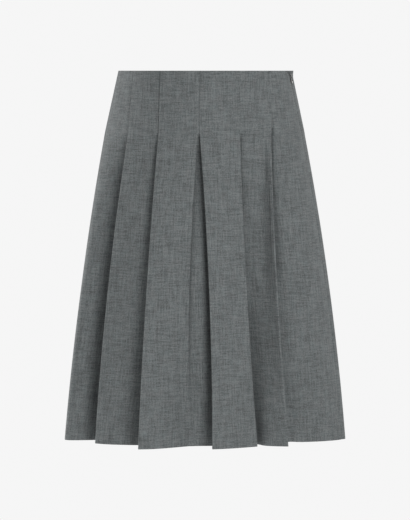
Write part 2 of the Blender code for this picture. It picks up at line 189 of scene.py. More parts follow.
# Creases: soft troughs (-) and ridges (+) between two places on a face.
# A place is a share of the way across the face and how far down it is. Faces are counted
# from a panel's left seam. Each panel's first four rows are the ends of its stitched lines.
# The front's next ten shape the two faces at the picture's right.
Crease = namedtuple("Crease", "face from_share from_down to_share to_down width rise")
FRONT_CREASES = (
    Crease(1, 0.04, 0.0790, 0.96, 0.0920, 0.0015, -0.00110),
    Crease(2, 0.08, 0.0890, 0.90, 0.0855, 0.0015, -0.00070),
    Crease(4, 0.12, 0.0830, 0.96, 0.0885, 0.0015, -0.00110),
    Crease(5, 0.06, 0.0880, 0.94, 0.0780, 0.0015, -0.00100),
    Crease(5, 0.68, 0.0900, 0.64, 0.3400, 0.0095, -0.00200),
    Crease(5, 0.81, 0.0760, 0.76, 0.1700, 0.0040, -0.00240),
    Crease(5, 0.965, 0.0640, 0.965, 0.2900, 0.0016, 0.00110),
    Crease(5, 0.030, 0.0840, 0.05, 0.2300, 0.0028, -0.00300),
    Crease(6, 0.050, 0.0560, 0.060, 0.0920, 0.0018, -0.00170),
    Crease(6, 0.030, 0.0810, 0.086, 0.1230, 0.0020, -0.00850),
    Crease(6, 0.074, 0.1000, 0.130, 0.1950, 0.0020, -0.00600),
    Crease(6, 0.118, 0.1650, 0.140, 0.3400, 0.0020, -0.00450),
    Crease(6, 0.118, 0.1300, 0.155, 0.6300, 0.0095, -0.00460),
    Crease(5, 0.10, 0.3300, 0.12, 0.6300, 0.0120, -0.00300),
    Crease(1, 0.50, 0.1900, 0.44, 0.5100, 0.0120, 0.00090),
    Crease(2, 0.74, 0.2400, 0.82, 0.5300, 0.0090, -0.00090),
    Crease(2, 0.30, 0.1500, 0.34, 0.4600, 0.0120, 0.00060),
    Crease(3, 0.34, 0.2100, 0.50, 0.5100, 0.0060, 0.00060),
    Crease(4, 0.55, 0.1800, 0.50, 0.5000, 0.0120, 0.00060),
    Crease(5, 0.30, 0.3000, 0.36, 0.5200, 0.0070, -0.00080),
    Crease(6, 0.34, 0.1400, 0.40, 0.5000, 0.0140, -0.00110),
    Crease(6, 0.66, 0.1800, 0.70, 0.4600, 0.0120, 0.00080),
    Crease(5, 0.16, 0.4400, 0.96, 0.4570, 0.0040, 0.00040),
    Crease(5, 0.16, 0.4510, 0.96, 0.4680, 0.0035, -0.00030),
    Crease(5, 0.20, 0.4620, 0.96, 0.4800, 0.0040, 0.00045),
    Crease(5, 0.26, 0.4820, 0.96, 0.5020, 0.0045, 0.00040),
    Crease(6, 0.06, 0.4500, 0.70, 0.4670, 0.0045, 0.00035),
    Crease(6, 0.04, 0.4860, 0.84, 0.5030, 0.0040, 0.00045),
    Crease(6, 0.06, 0.4960, 0.80, 0.5120, 0.0035, -0.00030),
    Crease(6, 0.05, 0.5050, 0.86, 0.5210, 0.0040, 0.00040),
)
BACK_CREASES = (
    Crease(1, 0.05, 0.0880, 0.94, 0.0800, 0.0013, -0.00030),
    Crease(2, 0.08, 0.0860, 0.92, 0.0890, 0.0013, -0.00022),
    Crease(4, 0.08, 0.0890, 0.90, 0.0850, 0.0013, -0.00026),
    Crease(5, 0.06, 0.0800, 0.95, 0.0900, 0.0012, -0.00030),
    Crease(0, 0.95, 0.0680, 0.96, 0.0900, 0.0020, -0.00090),
    Crease(5, 0.84, 0.1000, 0.70, 0.2400, 0.0050, -0.00120),
    Crease(0, 0.55, 0.1600, 0.48, 0.4900, 0.0120, 0.00090),
    Crease(1, 0.42, 0.2000, 0.50, 0.5000, 0.0100, -0.00080),
    Crease(2, 0.60, 0.1800, 0.52, 0.5200, 0.0130, 0.00080),
    Crease(3, 0.48, 0.2200, 0.40, 0.5000, 0.0060, 0.00050),
    Crease(4, 0.40, 0.1700, 0.50, 0.5100, 0.0120, -0.00080),
    Crease(5, 0.50, 0.2600, 0.42, 0.5000, 0.0090, 0.00080),
    Crease(6, 0.40, 0.1500, 0.46, 0.4800, 0.0130, -0.00090),
    Crease(0, 0.20, 0.4700, 0.90, 0.4560, 0.0042, 0.00040),
    Crease(0, 0.16, 0.4900, 0.92, 0.4750, 0.0040, 0.00040),
    Crease(1, 0.12, 0.5000, 0.88, 0.4860, 0.0042, 0.00035),
    Crease(6, 0.14, 0.4780, 0.80, 0.4930, 0.0042, 0.00035),
)

# A crease fades out this near a fold, and over one part in seven at each end
CREASE_CLEAR = 0.0012
CREASE_FADES = 7

# The cloth dips by this much along the side seams
SEAM_DIP = 0.0013
SEAM_DIP_WIDTH = 0.0014

# The bake map: the free strip at its sides and its foot, the height that a side of the
# cloth takes up, and where each rim's inner and outer edge lies
BAKE_SIDE = 0.02
BAKE_FOOT = 0.01
BAKE_HEIGHT = 0.47
BAKE_HALF = 0.50
WAIST_RIM = (0.990, 0.985)
HEM_RIM = (0.498, 0.502)
LEFT_RIM = (0.006, 0.012)
RIGHT_RIM = (0.994, 0.988)

# Where the camera stands: level with the waist and a little to the right of the front
VIEW_DEG = 5.0
VIEW_DISTANCE = 5.0
AIM_DOWN = 0.2835
METRES_PER_PIXEL = 0.0015
PICTURE_HEIGHT = 520
SENSOR_MM = 36.0

# The wool: its two greys, the sizes of its weave and streaks, and how much each adds.
# Noise sizes are metres across and down the cloth.
WARM_GREY = (0.128, 0.131, 0.132, 1.0)
COOL_GREY = (0.117, 0.135, 0.137, 1.0)
YARN_WAVES = 620.0
THREAD_WIDTH = 0.0013
PICK_LENGTH = 0.020
END_LENGTH = 0.028
THREAD_START = 37.0
THREAD_APART = 0.73
PICK_SHARE = 0.32
END_SHARE = 0.30
FLECK_SHARE = 0.42
FLECK_SIZE = (0.0021, 0.0021, 1.0)
BROAD_SIZE = (0.022, 0.030, 1.0)
TINT_SIZE = (0.009, 0.012, 1.0)
FACE_SHIFT = 0.37
STREAK_RANGE = (0.36, 0.64)
CONTRAST = 0.36
BROAD_RANGE = (0.3, 0.7)
BROAD_CONTRAST = 0.05
WEAVE_SHARE = 0.3

# The zip's materials
NICKEL = (0.26, 0.26, 0.255, 1.0)
NICKEL_ROUGHNESS = (0.42, 0.60)
WEAR_SIZE = (0.0015, 0.0015, 0.0015)
TAPE_GREY = (0.100, 0.105, 0.106)
RIB_SIZE = (0.01, 0.01, 0.0005)

# The studio. A light comes from so far round from the front and so far up. Its reach is
# its light at the skirt's middle, in W/m2.
STUDIO_WHITE = 0.92
AMBIENT = 0.34
Light = namedtuple("Light", "name turn_deg raise_deg distance width reach")
LIGHTS = (
    Light("key", 22.5, 16.0, 3.0, 0.98, 1.87),
    Light("left_edge", -108.0, 4.0, 3.5, 1.5, 2.95),
    Light("right_edge", 126.0, 4.0, 3.5, 1.5, 0.75),
)
FLOOR_DOWN = 1.05
FLOOR_RADIUS = 2.4
FLOOR_GREY = 0.80


def shares_across_a_face():
    """Where the columns are between a face's ends, closer together near its folds."""
    near = np.linspace(0, NEAR_FOLD_SHARE, NEAR_FOLD_SEGMENTS + 1)
    middle = np.linspace(NEAR_FOLD_SHARE, 1 - NEAR_FOLD_SHARE, MID_FACE_SEGMENTS + 1)
    return np.concatenate([near[1:-1], middle, 1 - near[-2:0:-1]]).tolist()


FACE_SHARES = shares_across_a_face()


def mix(start, end, share):
    return start + (end - start) * share


def girth_at(down):
    share = down / RELEASE
    return (mix(WAIST.half_width, HIP.half_width, share),
            mix(WAIST.half_depth, HIP.half_depth, share))


def below_release(down, at_release, at_middle, at_hem):
    """The value at a level, on the parabola through the three that are given."""
    past_release = down - RELEASE
    past_middle = down - MIDDLE
    past_hem = down - LENGTH
    return (at_release * past_middle * past_hem / ((RELEASE - MIDDLE) * (RELEASE - LENGTH))
            + at_middle * past_release * past_hem / ((MIDDLE - RELEASE) * (MIDDLE - LENGTH))
            + at_hem * past_release * past_middle / ((LENGTH - RELEASE) * (LENGTH - MIDDLE)))


def early_at(down):
    """A swelling below the release: 0 there, 1 a little lower, and 0 from EARLY_END down."""
    share = min(1.0, max(0.0, (down - RELEASE) / (EARLY_END - RELEASE)))
    return math.sin(math.pi * share ** EARLY_SKEW) ** 2


def opened_at(down):
    """How far a pleat has opened: 0 at its release and above, 1 at the hem."""
    return max(0.0, (down - RELEASE) / (LENGTH - RELEASE))


def round_the_figure(degrees, down):
    """A point on the figure's oval and the way that the oval heads there, in degrees."""
    half_width, half_depth = girth_at(down)
    angle = math.radians(degrees)
    point = Vector((half_width * math.sin(angle), half_depth * math.cos(angle)))
    heading = math.atan2(-half_depth * math.sin(angle), half_width * math.cos(angle))
    return point, math.degrees(heading)


def heading_vector(degrees):
    angle = math.radians(degrees)
    return Vector((math.cos(angle), math.sin(angle)))


def place_of(row, down):
    """Where a fold or seam is at a level, and the way that the figure's oval heads there."""
    if down <= RELEASE:
        return round_the_figure(mix(row.waist_deg, row.release_deg, down / RELEASE), down)
    at_release, heading = round_the_figure(row.release_deg, RELEASE)
    point = Vector((below_release(down, at_release.x, row.mid_x, row.hem_x),
                    below_release(down, at_release.y, row.mid_front, row.hem_front)))
    return point, heading


def heading_of(oval_deg, hem_deg, down):
    return mix(oval_deg, hem_deg, opened_at(down))


def pleat_at(fold, down):
    """The outer and the inner fold of a pleat at a level, and the headings beside it."""
    outer, oval_deg = place_of(fold, down)
    early = early_at(down)
    outer.y += fold.lift_early * early
    under, behind = fold.line_under, fold.line_depth
    if down > RELEASE:
        under = below_release(down, fold.line_under, fold.mid_under, fold.hem_under)
        behind = below_release(down, fold.line_depth, fold.mid_behind, fold.hem_behind)
        behind += fold.more_early * early
        lip = math.tanh((down - RELEASE) / LIP_DOWN) * (1 - opened_at(down)) ** LIP_FADE
        under += LIP_UNDER * lip
        behind += LIP_DEPTH * lip
    along = heading_vector(heading_of(oval_deg, 0.0, down))
    inward = Vector((along.y, -along.x))
    inner = outer - along * fold.points * under + inward * behind
    before, after = oval_deg, oval_deg
    if down > RELEASE:
        before = below_release(down, oval_deg, fold.mid_before, fold.hem_before)
        before += fold.turn_early * early
        after = below_release(down, oval_deg, fold.mid_after, fold.hem_after)
    return outer, inner, heading_vector(before), heading_vector(after)


def rounded_corner(corner, heading_in, heading_out, leg_length, is_outer):
    """The points of the arc that turns a corner, its ends on the two lines that meet."""
    turn = heading_in.angle(heading_out)
    half_tan = math.tan(turn / 2)
    least = min(LEAST_TURN_SHARE * leg_length, SHORTEST_TURN)
    setback = min(max(FOLD_RADIUS * half_tan, least), MOST_TURN_SHARE * leg_length)
    radius = setback / half_tan
    if is_outer:
        tip = (heading_in - heading_out).normalized()
        corner = corner + tip * (radius / math.cos(turn / 2) - radius)
    start = corner - heading_in * setback
    side = 1 if heading_in.cross(heading_out) > 0 else -1
    centre = start + Vector((-heading_in.y, heading_in.x)) * side * radius
    spoke = start - centre
    return [centre + Matrix.Rotation(side * turn * step / ARC_SEGMENTS, 2) @ spoke
            for step in range(ARC_SEGMENTS + 1)]


def face_points(start, heading_in, end, heading_out, slope_reach=1 / 3):
    """The inner points of a gently curved face from one point to another."""
    length = (end - start).length
    first = start + heading_in * length / 3
    second = end - heading_out * length * slope_reach
    points = []
    for share in FACE_SHARES:
        rest = 1 - share
        points.append(start * rest ** 3 + first * 3 * share * rest ** 2
                      + second * 3 * share ** 2 * rest + end * share ** 3)
    return points


def section(folds, start_seam, end_seam, down, start_set_back, end_set_back):
    """One panel's section at a level: points from its left seam to its right seam."""
    point, oval_deg = place_of(start_seam, down)
    heading = heading_vector(heading_of(oval_deg, start_seam.hem_deg, down))
    points = [point + heading * (start_set_back + step) for step in SEAM_STEPS]
    points.append(point + heading * (start_set_back + SEAM_RUN))
    for fold in folds:
        outer, inner, before, after = pleat_at(fold, down)
        grown = min(1.0, SLOPE_REACH_GROWTH * opened_at(down))
        reach = mix(1 / 3, fold.slope_reach, grown)
        first, second = (outer, inner) if fold.points > 0 else (inner, outer)
        leg = second - first
        along_leg = leg.normalized()
        arc_in = rounded_corner(first, before, along_leg, leg.length, fold.points > 0)
        arc_out = rounded_corner(second, along_leg, after, leg.length, fold.points < 0)
        points += face_points(points[-1], heading, arc_in[0], before, reach)
        points += arc_in
        points += [arc_in[-1].lerp(arc_out[0], step / LEG_SEGMENTS)
                   for step in range(1, LEG_SEGMENTS)]
        points += arc_out
        heading = after
    point, oval_deg = place_of(end_seam, down)
    end_heading = heading_vector(heading_of(oval_deg, end_seam.hem_deg, down))
    run_start = point - end_heading * (end_set_back + SEAM_RUN)
    points += face_points(points[-1], heading, run_start, end_heading)
    points.append(run_start)
    return points + [point - end_heading * (end_set_back + step) for step in SEAM_STEPS[::-1]]


def column_faces(folds):
    """For each column of a section, the face that it belongs to and its share across it.

    The share is None on a pleat's folds and underlay, which go with the face on top."""
    columns = [(0, 0.0)] * (len(SEAM_STEPS) + 1)
    for number, fold in enumerate(folds):
        columns += [(number, share) for share in FACE_SHARES]
        on_top = number if fold.points > 0 else number + 1
        columns += [(on_top, None)] * (2 * (ARC_SEGMENTS + 1) + LEG_SEGMENTS - 1)
    last = len(folds)
    columns += [(last, share) for share in FACE_SHARES]
    return columns + [(last, 1.0)] * (len(SEAM_STEPS) + 1)


def notch_at(down, width):
    return width * max(0.0, 1 - down / NOTCH_DEPTH)


def half_turned(seam):
    """A side seam as the other panel's plan has it."""
    return seam._replace(waist_deg=-math.copysign(180 - abs(seam.waist_deg), seam.waist_deg),
                         release_deg=-math.copysign(180 - abs(seam.release_deg),
                                                    seam.release_deg),
                         mid_x=-seam.mid_x, mid_front=-seam.mid_front,
                         hem_x=-seam.hem_x, hem_front=-seam.hem_front,
                         hem_deg=seam.hem_deg + (180 if seam.hem_deg < 0 else -180))


def zip_gap_at(down):
    """The gap over the zip, which closes where the seam is sewn below it."""
    return SEAM_GAP if down < ZIP_LENGTH else SEWN_GAP


def front_section(down):
    return section(FRONT_FOLDS, LEFT_SEAM, RIGHT_SEAM, down, SEWN_GAP / 2,
                   zip_gap_at(down) / 2 + notch_at(down, NOTCH_ON_FRONT))


def back_section(down):
    return section(BACK_FOLDS, half_turned(RIGHT_SEAM), half_turned(LEFT_SEAM), down,
                   zip_gap_at(down) / 2 + notch_at(down, NOTCH_ON_BACK), SEWN_GAP / 2)


def aside_at(down):
    return -ASIDE * min(1.0, down / RELEASE)


def in_front(point, down):
    """A point of the front's plan, placed in the skirt."""
    return (point.x + aside_at(down), -point.y, -down)


def behind_it(point, down):
    """A point of the back's plan, placed in the skirt."""
    return (-point.x + aside_at(down), point.y, -down)


def cloth_levels():
    """Levels for the rows, from the table of their steps, and close at both edges."""
    levels = []
    start = EDGE_STEPS[-1]
    for row_step in ROW_STEPS:
        end = min(row_step.down, LENGTH - EDGE_STEPS[-1])
        count = math.ceil((end - start) / row_step.apart)
        levels += [mix(start, end, number / count) for number in range(count)]
        start = end
    edge = np.array(EDGE_STEPS)
    return np.concatenate([edge[:-1], levels, LENGTH - edge[::-1]])


def tangents(grid, axis):
    """Unit tangents of a grid of points along an axis, fair where its steps are uneven."""
    steps = np.diff(grid, axis=axis)
    steps /= np.maximum(np.linalg.norm(steps, axis=2, keepdims=True), 1e-9)
    first = np.take(steps, [0], axis=axis)
    last = np.take(steps, [-1], axis=axis)
    total = (np.concatenate([first, steps], axis=axis)
             + np.concatenate([steps, last], axis=axis))
    return total / np.maximum(np.linalg.norm(total, axis=2, keepdims=True), 1e-9)


def outward_normals(grid):
    normals = np.cross(tangents(grid, 1), tangents(grid, 0))
    normals /= np.maximum(np.linalg.norm(normals, axis=2, keepdims=True), 1e-9)
    away = grid[len(grid) // 4, grid.shape[1] // 2] * np.array([1, 1, 0])
    if np.dot(normals[len(grid) // 4, grid.shape[1] // 2], away) < 0:
        normals = -normals
    return normals


def round_edge(distance):
    """The share of the cloth's thickness at a distance from its edge."""
    near = np.clip(distance / EDGE_STEPS[-1], 0, 1)
    return np.maximum(np.sqrt(1 - (1 - near) ** 2), THINNEST)


def edge_shares(count):
    distances = np.full(count, 1.0)
    distances[:len(EDGE_STEPS)] = EDGE_STEPS
    distances[-len(EDGE_STEPS):] = EDGE_STEPS[::-1]
    return round_edge(distances)


Cloth = namedtuple("Cloth", "piece width length area")


def cloth_shell(name, make_section, place, folds, creases, material):
    """A thin closed shell of cloth through fine sections, with its two UV maps."""
    levels = cloth_levels()
    flat = [make_section(down) for down in levels]
    grid = np.array([[place(p, down) for p in row] for row, down in zip(flat, levels)])
    columns = column_faces(folds)
    rows, width = grid.shape[:2]

    walked = np.concatenate([np.zeros((rows, 1)),
                             np.cumsum(np.linalg.norm(np.diff(grid, axis=1), axis=2), axis=1)],
                            axis=1)
    normals = outward_normals(grid)
    grid = grid + normals * relief(columns, walked, levels, creases)[:, :, None]
    normals = outward_normals(grid)
    thickness = CLOTH * edge_shares(rows)[:, None] * edge_shares(width)[None, :]
    outer = grid + normals * thickness[:, :, None] / 2
    inner = grid - normals * thickness[:, :, None] / 2

    number = np.arange(rows * width).reshape(rows, width)
    a, b = number[:-1, :-1].ravel(), number[1:, :-1].ravel()
    c, d = number[1:, 1:].ravel(), number[:-1, 1:].ravel()
    outside = np.stack([a, b, c, d], axis=1)
    count = rows * width
    inside = outside[:, ::-1] + count
    rims = []
    for line in (number[0, ::-1], number[-1, :], number[:, 0], number[::-1, -1]):
        rims.append(np.stack([line[1:], line[:-1], line[:-1] + count, line[1:] + count], axis=1))
    faces = np.concatenate([outside, inside] + rims)
    mesh = bpy.data.meshes.new(name)
    points = np.concatenate([outer.reshape(-1, 3), inner.reshape(-1, 3)])
    mesh.from_pydata(points.tolist(), [], faces.tolist())
    add_cloth_map(mesh, columns, walked, levels, count)
    add_bake_map(mesh, walked, levels, count, rows, width)
    mesh.materials.append(material)
    mesh.shade_smooth()
    obj = bpy.data.objects.new(name, mesh)
    bpy.context.scene.collection.objects.link(obj)
    fall = np.linalg.norm(np.diff(grid, axis=0), axis=2).sum(axis=0)
    widths = (walked[1:, -1] + walked[:-1, -1]) / 2
    area = (widths * np.diff(levels)).sum() * fall.mean() / LENGTH
    return Cloth(obj, walked[:, -1].max(), fall.max(), area)


def smooth_step(value):
    value = np.clip(value, 0, 1)
    return value * value * (3 - 2 * value)


def relief(columns, walked, levels, creases):
    """How far the creases and seams raise or sink the cloth. Creases fade at the folds."""
    from_seam = np.minimum(walked, walked[:, -1:] - walked)
    rise = -SEAM_DIP * np.exp(-(from_seam / SEAM_DIP_WIDTH) ** 2)
    for crease in creases:
        own = [n for n, (f, share) in enumerate(columns) if f == crease.face and share is not None]
        place = walked[:, own] - walked[:, own[:1]]
        width = place[:, -1]
        start = np.array([crease.from_share * np.interp(crease.from_down, levels, width),
                          crease.from_down])
        end = np.array([crease.to_share * np.interp(crease.to_down, levels, width),
                        crease.to_down])
        along = end - start
        across = place - start[0]
        down = (levels - start[1])[:, None] + np.zeros_like(place)
        share = np.clip((across * along[0] + down * along[1]) / (along @ along), 0, 1)
        apart = np.hypot(across - share * along[0], down - share * along[1])
        fade = smooth_step(np.minimum(place, width[:, None] - place) / CREASE_CLEAR)
        fade = fade * smooth_step(CREASE_FADES * share)
        fade = fade * smooth_step(CREASE_FADES * (1 - share))
        rise[:, own] += crease.rise * fade * np.exp(-(apart / crease.width) ** 2)
    return rise


def face_middles(columns, walked):
    """The walked distance at the middle of each face, for every row."""
    middles = {}
    for face in sorted({face for face, _ in columns}):
        own = [n for n, (f, share) in enumerate(columns) if f == face and share is not None]
        middles[face] = (walked[:, own[0]] + walked[:, own[-1]]) / 2
    return middles


def add_cloth_map(mesh, columns, walked, levels, count):
    """UVs in metres: across each face from its own middle, and down the cloth."""
    rows, width = walked.shape
    middles = face_middles(columns, walked)
    loops = np.empty(len(mesh.loops), dtype=np.int64)
    mesh.loops.foreach_get("vertex_index", loops)
    point = loops % count
    row, column = point // width, point % width
    face_of = np.array([face for face, _ in columns])
    first_of_quad = column.reshape(-1, 4).min(axis=1).repeat(4)
    face = face_of[first_of_quad]
    middle = np.stack([middles[n] for n in sorted(middles)], axis=1)
    across = walked[row, column] - middle[row, face] + FACE_SHIFT * face
    uv = np.stack([across, -levels[row]], axis=1)
    layer = mesh.uv_layers.new(name="cloth")
    layer.data.foreach_set("uv", uv.ravel())


def add_bake_map(mesh, walked, levels, count, rows, width):
    """UVs in 0 to 1 for baking: the outside above, the inside below, rims in strips."""
    loops = np.empty(len(mesh.loops), dtype=np.int64)
    mesh.loops.foreach_get("vertex_index", loops)
    point = loops % count
    row, column = point // width, point % width
    across = BAKE_SIDE + (1 - 2 * BAKE_SIDE) * walked[-1, column] / walked[-1, -1]
    up = BAKE_FOOT + BAKE_HEIGHT * (1 - levels[row] / LENGTH)
    is_inner = loops >= count
    quads = (rows - 1) * (width - 1)
    part = np.arange(len(loops)) // 4
    u = across.copy()
    v = np.where(is_inner, up, up + BAKE_HALF)
    start = 2 * quads
    top = (part >= start) & (part < start + width - 1)
    hem = (part >= start + width - 1) & (part < start + 2 * (width - 1))
    left = (part >= start + 2 * (width - 1)) & (part < start + 2 * (width - 1) + rows - 1)
    right = part >= start + 2 * (width - 1) + rows - 1
    v = np.where(top, np.where(is_inner, *WAIST_RIM), v)
    v = np.where(hem, np.where(is_inner, *HEM_RIM), v)
    u = np.where(left, np.where(is_inner, *LEFT_RIM), u)
    v = np.where(left | right, up + BAKE_HALF, v)
    u = np.where(right, np.where(is_inner, *RIGHT_RIM), u)
    layer = mesh.uv_layers.new(name="OFBake")
    layer.data.foreach_set("uv", np.stack([u, v], axis=1).ravel())


class Nodes:
    """A material's node tree, with short calls to add and join nodes."""

    def __init__(self, name):
        self.material = bpy.data.materials.new(name)
        self.material.use_nodes = True
        self.tree = self.material.node_tree
        self.shader = self.tree.nodes["Principled BSDF"]

    def add(self, kind, values=(), at_output=0, **settings):
        node = self.tree.nodes.new(kind)
        for key, value in settings.items():
            setattr(node, key, value)
        for key, value in dict(values).items():
            if isinstance(value, bpy.types.NodeSocket):
                self.tree.links.new(value, node.inputs[key])
            else:
                node.inputs[key].default_value = value
        return node.outputs[at_output]

    def join(self, output, name):
        self.tree.links.new(output, self.shader.inputs[name])

    def maths(self, operation, first, second=0.0, third=0.0):
        return self.add("ShaderNodeMath", {0: first, 1: second, 2: third}, operation=operation)

    def noise(self, place, sizes, detail):
        """Noise on a place, from 0 to 1, of these sizes in metres each way."""
        sized = self.add("ShaderNodeMapping", {"Vector": place,
                                               "Scale": tuple(1 / size for size in sizes)})
        return self.add("ShaderNodeTexNoise", {"Vector": sized, "Scale": 1.0, "Detail": detail})

    def ranged(self, value, given, wanted):
        """A value moved from one range to another, and kept in it."""
        return self.add("ShaderNodeMapRange", {"Value": value,
                                               "From Min": given[0], "From Max": given[1],
                                               "To Min": wanted[0], "To Max": wanted[1]})


def thread_shades(look, along, across, length, width):
    """Shades of threads side by side, from 0 to 1, each with its own slow change along it."""
    row = look.maths("FLOOR", look.maths("DIVIDE", across, width))
    own = look.add("ShaderNodeTexWhiteNoise", {"W": row}, noise_dimensions="1D")
    place = look.maths("MULTIPLY_ADD", own, THREAD_START, look.maths("DIVIDE", along, length))
    apart = look.maths("MULTIPLY", row, THREAD_APART)
    spot = look.add("ShaderNodeCombineXYZ", {0: place, 1: apart})
    return look.add("ShaderNodeTexNoise", {"Vector": spot, "Scale": 1.0, "Detail": 1.0},
                    noise_dimensions="2D")


def wool_material():
    """Grey suiting of two greys of yarn: fine broken streaks along both of its threads."""
    wool = Nodes("wool")
    cloth = wool.add("ShaderNodeUVMap", uv_map="cloth")
    across = wool.add("ShaderNodeSeparateXYZ", {0: cloth}, at_output="X")
    down = wool.add("ShaderNodeSeparateXYZ", {0: cloth}, at_output="Y")
    picks = thread_shades(wool, across, down, PICK_LENGTH, THREAD_WIDTH)
    ends = thread_shades(wool, down, across, END_LENGTH, THREAD_WIDTH)
    fleck = wool.noise(cloth, FLECK_SIZE, 1.0)
    broad = wool.noise(cloth, BROAD_SIZE, 3.0)
    tint = wool.noise(cloth, TINT_SIZE, 2.0)
    streak = wool.maths("MULTIPLY_ADD", picks, PICK_SHARE, wool.maths("MULTIPLY", ends, END_SHARE))
    streak = wool.maths("MULTIPLY_ADD", fleck, FLECK_SHARE, streak)
    shade = wool.ranged(streak, STREAK_RANGE, (1 - CONTRAST, 1 + CONTRAST))
    tone = wool.ranged(broad, BROAD_RANGE, (1 - BROAD_CONTRAST, 1 + BROAD_CONTRAST))
    shade = wool.maths("MULTIPLY", shade, tone)
    colour = wool.add("ShaderNodeMix", {"Factor": tint, 6: WARM_GREY, 7: COOL_GREY},
                      data_type="RGBA", at_output=2)
    colour = wool.add("ShaderNodeVectorMath", {0: colour, 3: shade}, operation="SCALE")
    wool.join(colour, "Base Color")
    wool.shader.inputs["Roughness"].default_value = 0.88
    wool.shader.inputs["Specular IOR Level"].default_value = 0.25
    wool.shader.inputs["Sheen Weight"].default_value = 0.12
    wool.shader.inputs["Sheen Roughness"].default_value = 0.45
    upright = wool.add("ShaderNodeTexWave", {"Vector": cloth, "Scale": YARN_WAVES},
                       bands_direction="X", at_output="Fac")
    level = wool.add("ShaderNodeTexWave", {"Vector": cloth, "Scale": YARN_WAVES},
                     bands_direction="Y", at_output="Fac")
    weave = wool.maths("MULTIPLY", upright, level)
    height = wool.maths("MULTIPLY_ADD", weave, WEAVE_SHARE, streak)
    bump = wool.add("ShaderNodeBump", {"Height": height, "Strength": 0.4, "Distance": 0.0004})
    wool.join(bump, "Normal")
    return wool.material


def metal_material():
    """Dull nickel with faint rubbing."""
    metal = Nodes("zip_metal")
    place = metal.add("ShaderNodeTexCoord", at_output="Object")
    wear = metal.noise(place, WEAR_SIZE, 3.0)
    metal.join(metal.ranged(wear, (0.0, 1.0), NICKEL_ROUGHNESS), "Roughness")
    metal.shader.inputs["Base Color"].default_value = NICKEL
    metal.shader.inputs["Metallic"].default_value = 1.0
    return metal.material


def tape_material():
    """Woven zip tape: fine ribs across it."""
    tape = Nodes("zip_tape")
    place = tape.add("ShaderNodeTexCoord", at_output="Object")
    ribs = tape.noise(place, RIB_SIZE, 1.0)
    shade = tape.ranged(ribs, (0.0, 1.0), (0.7, 1.3))
    colour = tape.add("ShaderNodeVectorMath", {0: TAPE_GREY, 3: shade}, operation="SCALE")
    tape.join(colour, "Base Color")
    bump = tape.add("ShaderNodeBump", {"Height": ribs, "Strength": 0.5, "Distance": 0.0002})
    tape.join(bump, "Normal")
    tape.shader.inputs["Roughness"].default_value = 0.8
    return tape.material


def new_piece(name, shape, material):
    mesh = bpy.data.meshes.new(name)
    shape.to_mesh(mesh)
    shape.free()
    mesh.materials.append(material)
    mesh.shade_smooth()
    mesh.set_sharp_from_angle(angle=math.radians(SMOOTH_BELOW_DEG))
    piece = bpy.data.objects.new(name, mesh)
    bpy.context.scene.collection.objects.link(piece)
    return piece


def seam_frame(down, out_by):
    """The matrix of a frame on the right side seam: across it, up it and out of the cloth."""
    above, _ = place_of(RIGHT_SEAM, down - HINGE_DOWN)
    below, _ = place_of(RIGHT_SEAM, down + HINGE_DOWN)
    seat, oval_deg = place_of(RIGHT_SEAM, down)
    along = heading_vector(heading_of(oval_deg, RIGHT_SEAM.hem_deg, down))
    across = Vector((along.x, -along.y, 0))
    up = Vector(in_front(above, down - HINGE_DOWN)) - Vector(in_front(below, down + HINGE_DOWN))
    up.normalize()
    out = across.cross(up).normalized()
    across = up.cross(out)
    turned = Matrix((across, up, out)).transposed().to_4x4()
    return Matrix.Translation(Vector(in_front(seat, down)) + out * out_by) @ turned


def rounded_box(shape, size, middle, matrix, rounding):
    """Adds a box with rounded edges to a shape, placed by a matrix."""
    box = bmesh.ops.create_cube(shape, size=1.0)["verts"]
    bmesh.ops.scale(shape, vec=size, verts=box)
    bmesh.ops.translate(shape, vec=middle, verts=box)
    edges = list({edge for corner in box for edge in corner.link_edges})
    rounded = bmesh.ops.bevel(shape, geom=edges, offset=rounding, segments=2, affect="EDGES",
                              profile=0.5)["verts"]
    bmesh.ops.transform(shape, matrix=matrix, verts=list(set(rounded)))


def hull_of_circles(upper, lower, upper_radius, lower_radius, inset, directions):
    """Points round two circles on the Y axis and the straight sides between them."""
    lean = (lower_radius - upper_radius) / (upper - lower)
    points = []
    for angle in directions:
        is_upper = math.sin(angle) > lean
        middle, radius = (upper, upper_radius) if is_upper else (lower, lower_radius)
        reach = radius - inset
        points.append((reach * math.cos(angle), middle + reach * math.sin(angle)))
    return points


